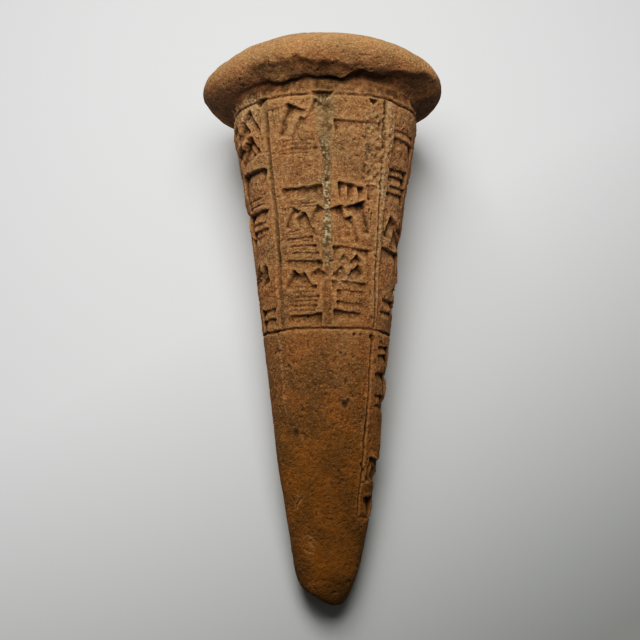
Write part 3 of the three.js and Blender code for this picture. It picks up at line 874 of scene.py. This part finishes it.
ends = surface(np.array([0.0, T_END]), np.zeros(2), 0.0)
points = np.concatenate([surface(T, TURN, raised).reshape(-1, 3), ends])
chip_normal = TIP_CHIP["along"] * ALONG + TIP_CHIP["side"] * SIDE + TIP_CHIP["up"] * UP
chip_normal = chip_normal / np.linalg.norm(chip_normal)
past = points @ chip_normal - TIP_CHIP["reach"]
over = np.maximum(clamp01(past / CHIP_EDGE + 1) ** 2 * CHIP_EDGE / 4, past)
points = points - (over / (ALONG @ chip_normal))[:, None] * ALONG
points = points + RIM_CENTRE
points[:, 2] = np.maximum(points[:, 2], 0)
# Painted shade: the chip's face, turned away from the lamps, is darkened in the soil field.
chip_face = ease(over[:-2] / CHIP_SHADE_FADE).reshape(rows, columns)
soil_and_painted_shade = np.maximum(soil_and_painted_shade, CHIP_PAINTED_SHADE * chip_face * (1 + SOIL_AND_SHADE_CHANGE * patchy))
print("lowest", round(float(points[:, 2].min()), 3), "mm, chipped", int((over > 0).sum()), "points")

# %% [markdown]
# ## The mesh
#
# The net becomes quads, and a fan of triangles closes each end. It is finer than a piece may
# be, so Decimate with its edge collapse keeps small triangles only where strokes need them.

# %% Build the mesh
MOST_TRIANGLES = 196000


def net_mesh(name, places):
    """A mesh of the net, its corners and faces put in as whole arrays."""
    grid = np.arange(rows * columns).reshape(rows, columns)
    right = np.roll(grid, -1, axis=1)
    quads = np.stack([grid[:-1], grid[1:], right[1:], right[:-1]], axis=-1).reshape(-1, 4)
    dome_corner = np.full(columns, rows * columns)
    dome_fan = np.stack([dome_corner, grid[0], right[0]], axis=-1)
    tip_fan = np.stack([dome_corner + 1, right[-1], grid[-1]], axis=-1)
    corners = np.concatenate([quads.ravel(), dome_fan.ravel(), tip_fan.ravel()])
    starts = np.concatenate([4 * np.arange(len(quads)), quads.size + 3 * np.arange(2 * columns)])
    mesh = bpy.data.meshes.new(name)
    mesh.vertices.add(len(places))
    mesh.vertices.foreach_set("co", (places * MM).ravel())
    mesh.loops.add(len(corners))
    mesh.loops.foreach_set("vertex_index", corners)
    mesh.polygons.add(len(starts))
    mesh.polygons.foreach_set("loop_start", starts)
    mesh.update(calc_edges=True)
    return mesh


def give_field(mesh, name, field):
    """Store a field, one number for each corner, where a material can read it."""
    values = np.concatenate([field.ravel(), [field[0].mean(), field[-1].mean()]])
    attribute = mesh.attributes.new(name, "FLOAT", "POINT")
    attribute.data.foreach_set("value", values.astype(np.float32))


carved_mesh = net_mesh("carved_clay_cone", points)
fields = {"soil_and_painted_shade": soil_and_painted_shade, "olive": olive, "crust": crust, "worn_and_painted_light": worn_and_painted_light, "grit": grit}
for name, values in fields.items():
    give_field(carved_mesh, name, values)
cone = put_in_scene("carved_clay_cone", carved_mesh)
full_count = 2 * rows * columns
thinning = cone.modifiers.new("thinning", "DECIMATE")
thinning.ratio = MOST_TRIANGLES / full_count
shown = bpy.context.evaluated_depsgraph_get()
thin_mesh = bpy.data.meshes.new_from_object(cone.evaluated_get(shown), depsgraph=shown)
cone.modifiers.clear()
cone.data = thin_mesh
thin_mesh.shade_smooth()
print("thinned from", full_count, "to", len(thin_mesh.polygons), "triangles")

# %% [markdown]
# ## The clay's finish
#
# Fired clay is matt. Here it is an orange tan near the head and a darker red brown towards
# the tip, where the fire or the soil stained it. Over that come broad patches, a fine dark
# mottling, dark and pale specks of the grit in the clay, soil and painted shade in the hollows
# and under the head, lime crust, and rubbed edges and patches lightened with painted light.
# Every pattern is noise in millimetres on the object's own coordinates, so it stays on the clay
# from any side, and two bumps give the grain that is finer than the mesh.

# %% Small helpers for nodes
def feed(tree, node, inputs):
    """Set a node's inputs, by name, to numbers or colours, or link other nodes to them."""
    for name, value in inputs.items():
        if isinstance(value, (float, tuple)):
            node.inputs[name].default_value = value
        else:
            tree.links.new(value, node.inputs[name])


def add_node(tree, kind, inputs, **properties):
    """A node with its properties set and its inputs fed."""
    node = tree.nodes.new(kind)
    for name, value in properties.items():
        setattr(node, name, value)
    feed(tree, node, inputs)
    return node


def spread(tree, value, low, high, top=1.0):
    """The value stretched so that low becomes 0 and high becomes top."""
    inputs = {"Value": value, "From Min": low, "From Max": high, "To Max": top}
    return add_node(tree, "ShaderNodeMapRange", inputs).outputs["Result"]


def spread_along(tree, where, low, high, top=1.0):
    """From 0 to top between two places along Y, which is the cone's length."""
    split = add_node(tree, "ShaderNodeSeparateXYZ", {"Vector": where})
    return spread(tree, split.outputs["Y"], low, high, top)


def noise(tree, where, per_mm, detail):
    """Noise with so many lumps a millimetre."""
    inputs = {"Vector": where, "Scale": per_mm, "Detail": detail}
    return add_node(tree, "ShaderNodeTexNoise", inputs).outputs["Fac"]


def pattern(tree, where, name):
    """One of the named patterns, as a mask."""
    per_mm, low, high, detail = PATTERNS[name]
    return spread(tree, noise(tree, where, per_mm, detail), low, high)


def times(tree, first, second):
    """The product of two masks."""
    node = add_node(tree, "ShaderNodeMath", {0: first, 1: second}, operation="MULTIPLY")
    return node.outputs["Value"]


def mix_colours(tree, mask, first, second):
    """Where mask is 0 the first colour, where it is 1 the second laid on it."""
    inputs = {"Factor": mask, "A": first, "B": second}
    return add_node(tree, "ShaderNodeMix", inputs, data_type="RGBA").outputs["Result"]


def field(tree, name):
    """One of the fields stored on the net."""
    return add_node(tree, "ShaderNodeAttribute", {}, attribute_name=name).outputs["Fac"]


def new_material(name, mapping):
    """A material, its nodes and its shader, and the place on the object, scaled or turned."""
    material = bpy.data.materials.new(name)
    material.use_nodes = True
    tree = material.node_tree
    place = add_node(tree, "ShaderNodeTexCoord", {}).outputs["Object"]
    mapped = add_node(tree, "ShaderNodeMapping", {"Vector": place, **mapping})
    return material, tree, tree.nodes["Principled BSDF"], mapped.outputs["Vector"]


print("helpers for the nodes are ready")

# %% The fired clay
ORANGE_TAN = (0.39, 0.193, 0.090, 1)
DULL_TAN = (0.278, 0.170, 0.085, 1)
RED_BROWN = (0.265, 0.116, 0.014, 1)
DARK_BROWN = (0.162, 0.077, 0.011, 1)
# The colour of soil, and also of painted shade.
SOIL_AND_SHADE = (0.085, 0.045, 0.012, 1)
OLIVE = (0.20, 0.145, 0.075, 1)
DARK_GRIT = (0.07, 0.035, 0.014, 1)
# Pale grit, and also the colour of painted highlights and painted light.
PALE_GRIT_AND_PAINTED_LIGHT = (0.55, 0.33, 0.17, 1)
LIME = (0.56, 0.46, 0.31, 1)
PATTERNS = {  # lumps a millimetre, the values that become 0 and 1, and the detail
    "patches": (0.16, 0.36, 0.66, 8.0), "mottles": (1.1, 0.36, 0.64, 6.0),
    "dark specks": (2.1, 0.54, 0.66, 4.0), "pale specks": (2.7, 0.51, 0.69, 4.0),
    "soil breaks": (0.8, 0.22, 0.55, 3.0), "crumbs": (1.5, 0.48, 0.6, 6.0),
}
BROWNING = (18.0, -32.0)  # from which Y to which the clay turns brown, in millimetres
MOTTLING = (-0.7, 1.0, 0.52)  # the grit that gives none, the grit that gives most, and the most
DARK_SHARE = (0.0, 1.0, 0.8)
PALE_SHARE = (-60.0, 14.0, 0.68)  # the same for the place along Y
# How much pale colour goes on rubbed edges and on painted highlights.
RUBBED_AND_PAINTED_LIGHT, TINTED = 0.35, 0.8
GRAINS = ((1.1, 0.5), (2.6, 0.3))  # lumps a millimetre and their height in millimetres
GRAIN_DETAIL = 4.0
ROUGHNESS, SHEEN, POWDER = 0.9, 0.25, 1.0


def clay_colour(tree, where):
    """The clay's own colour: two tones at each end of the cone, mixed by broad patches."""
    down = spread_along(tree, where, *BROWNING)
    patches = pattern(tree, where, "patches")
    upper = mix_colours(tree, patches, ORANGE_TAN, DULL_TAN)
    lower = mix_colours(tree, patches, RED_BROWN, DARK_BROWN)
    return mix_colours(tree, down, upper, lower)


def with_layers(tree, where, colour):
    """What is in and on the clay: its grit, rubbed edges and painted light, an olive tint, soil and
    painted shade, and lime.

    Each layer has a colour and two masks, and shows as much as the masks' product."""
    grit = field(tree, "grit")
    layers = [
        (DARK_GRIT, pattern(tree, where, "mottles"), spread(tree, grit, *MOTTLING)),
        (DARK_GRIT, pattern(tree, where, "dark specks"), spread(tree, grit, *DARK_SHARE)),
        (PALE_GRIT_AND_PAINTED_LIGHT, pattern(tree, where, "pale specks"), spread_along(tree, where, *PALE_SHARE)),
        # Rubbed edges, painted highlights and patches of painted light.
        (PALE_GRIT_AND_PAINTED_LIGHT, field(tree, "worn_and_painted_light"), RUBBED_AND_PAINTED_LIGHT),
        (OLIVE, field(tree, "olive"), TINTED),
        # Soil, and painted shade in hollows, under the head and on the chip.
        (SOIL_AND_SHADE, field(tree, "soil_and_painted_shade"), pattern(tree, where, "soil breaks")),
        (LIME, field(tree, "crust"), pattern(tree, where, "crumbs")),
    ]
    for laid_on, first, second in layers:
        colour = mix_colours(tree, times(tree, first, second), colour, laid_on)
    return colour


def clay_grain(tree, where):
    """Grain in two sizes, the finer one laid on the coarser one."""
    below = {}
    for per_mm, height in GRAINS:
        lumps = noise(tree, where, per_mm, GRAIN_DETAIL)
        inputs = {"Strength": 1.0, "Distance": height * MM, "Height": lumps, **below}
        below = {"Normal": add_node(tree, "ShaderNodeBump", inputs).outputs["Normal"]}
    return below["Normal"]


def clay_material():
    """Matt fired clay with its stains, grit, soil and crust, painted shade and painted light."""
    to_mm = {"Scale": (1 / MM, 1 / MM, 1 / MM)}
    material, tree, shader, where = new_material("fired_clay", to_mm)
    feed(tree, shader, {
        "Roughness": ROUGHNESS, "Specular IOR Level": SHEEN, "Diffuse Roughness": POWDER,
        "Base Color": with_layers(tree, where, clay_colour(tree, where)),
        "Normal": clay_grain(tree, where),
    })
    return material


thin_mesh.materials.append(clay_material())
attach(cone, "root")
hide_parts("clay_cone")
print("the cone has its clay")

# %% [markdown]
# ## Floor and light
#
# A plain pale floor carries the cone, and painted shade makes its colour duller towards the
# tip, where less light reached it. Two soft lamps hang close over the head, a little to the
# left, so their light falls off towards the tip, and a dim sky fills the shadows. A tone curve
# gives the picture the contrast that a camera adds.

# %% Floor
FLOOR_HALF = 1.2
FLOOR_GREY = (0.80, 0.81, 0.80, 1)
# Painted shade: the floor's colour turns to this grey towards the tip.
FLOOR_PAINTED_SHADE = (0.31, 0.315, 0.30, 1)
PAINTED_SHADE_SPAN = (0.018, -0.088)  # from where to where along the skewed Y, in metres
PAINTED_SHADE_SKEW = -0.5
FLOOR_ROUGHNESS = 0.95


def add_floor():
    """A plain matt square under the cone, with painted shade towards the tip."""
    turned = {"Rotation": (0.0, 0.0, PAINTED_SHADE_SKEW)}
    material, tree, shader, where = new_material("pale_floor", turned)
    # Painted shade on the floor, darker towards the tip.
    floor_painted_shade = spread_along(tree, where, *PAINTED_SHADE_SPAN)
    grey = mix_colours(tree, floor_painted_shade, FLOOR_GREY, FLOOR_PAINTED_SHADE)
    feed(tree, shader, {"Base Color": grey, "Roughness": FLOOR_ROUGHNESS})
    corners = [(x * FLOOR_HALF, y * FLOOR_HALF, 0) for x, y in ((-1, -1), (1, -1), (1, 1), (-1, 1))]
    mesh = bpy.data.meshes.new("floor")
    mesh.from_pydata(corners, [], [(0, 1, 2, 3)])
    mesh.materials.append(material)
    return put_in_scene("floor", mesh)


add_floor()
print("floor", 2 * FLOOR_HALF, "m square")

# %% Light
SKY_STRENGTH = 0.1
LAMPS = [  # place and size in metres, and power in watts
    {"name": "main_lamp", "place": (-0.005, 0.06, 0.24), "size": 0.13, "power": 0.38},
    {"name": "back_lamp", "place": (-0.06, 0.20, 0.27), "size": 0.12, "power": 0.24},
]
LAMP_AIM = (0.0, 0.0, 0.02)
TONE_CURVE = [(0.02, 0.009), (0.05, 0.032), (0.1, 0.09), (0.2, 0.24), (0.4, 0.5), (0.7, 0.76)]
ALL_CHANNELS = 3  # the curve for red, green and blue together


def add_lamp(name, place, size, power):
    """A square soft lamp that faces the middle of the cone and isn't seen itself."""
    light = bpy.data.lights.new(name, "AREA")
    light.size = size
    light.energy = power
    lamp = put_in_scene(name, light)
    away = Vector(place) - Vector(LAMP_AIM)
    turned = away.to_track_quat("Z", "Y").to_matrix().to_4x4()
    lamp.matrix_world = Matrix.Translation(place) @ turned
    lamp.visible_camera = False


for lamp in LAMPS:
    add_lamp(**lamp)
sky = bpy.data.worlds.new("sky")
sky.use_nodes = True
background = sky.node_tree.nodes["Background"]
background.inputs["Color"].default_value = (1, 1, 1, 1)
background.inputs["Strength"].default_value = SKY_STRENGTH
bpy.context.scene.world = sky
view = bpy.context.scene.view_settings
view.view_transform = "Standard"
view.use_curve_mapping = True
for light_in, light_out in TONE_CURVE:
    view.curve_mapping.curves[ALL_CHANNELS].points.new(light_in, light_out)
view.curve_mapping.update()
print(len(LAMPS), "lamps")
